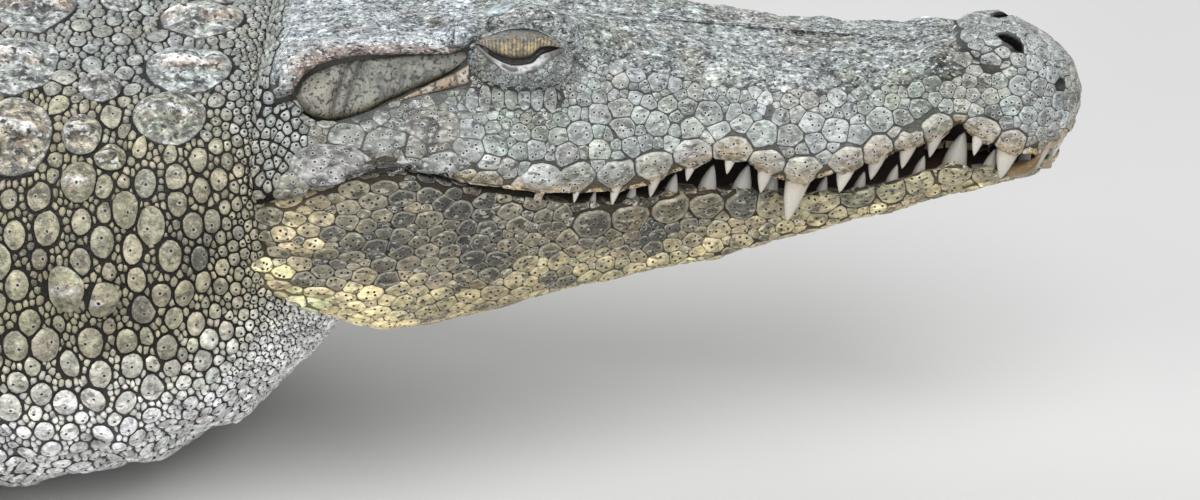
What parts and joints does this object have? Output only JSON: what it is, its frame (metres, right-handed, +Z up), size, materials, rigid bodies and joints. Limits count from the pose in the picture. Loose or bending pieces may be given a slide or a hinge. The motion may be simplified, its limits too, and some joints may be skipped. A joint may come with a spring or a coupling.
{
  "type": "saltwater crocodile, life-size still model",
  "caption": "Life-size still model of a young adult saltwater crocodile, lying on its belly with its head held level, its jaws a little apart and its tail in a slow curve.",
  "frame": {"origin": "middle of the footprint, on the floor", "axes": "+Z up, +X towards the snout, +Y to the animal's left"},
  "size_m": [2.8844, 0.9528, 0.2899],
  "materials": {
    "hide": "matte scaly hide, grey to olive with dark gaps between the scales",
    "pale_hide": "matte cream to ochre plated hide with brown cracks",
    "eye": "wet and glossy, olive iris with a dark upright pupil",
    "ivory": "satin ivory teeth, stained towards the root",
    "horn": "satin dark horn claws"
  },
  "bodies": {
    "root": {"head": "hide", "lower_jaw": "pale_hide", "neck": "hide", "trunk": "hide", "tail_base": "hide", "tail_middle": "hide", "tail_end": "hide", "upper_arm_right": "hide", "forearm_right": "hide", "hand_right": "hide", "thigh_right": "hide", "shank_right": "hide", "foot_right": "hide", "eye_right": "eye", "ear_right": "hide", "upper_arm_left": "hide", "forearm_left": "hide", "hand_left": "hide", "thigh_left": "hide", "shank_left": "hide", "foot_left": "hide", "eye_left": "eye", "ear_left": "hide"}
  },
  "joints": []
}
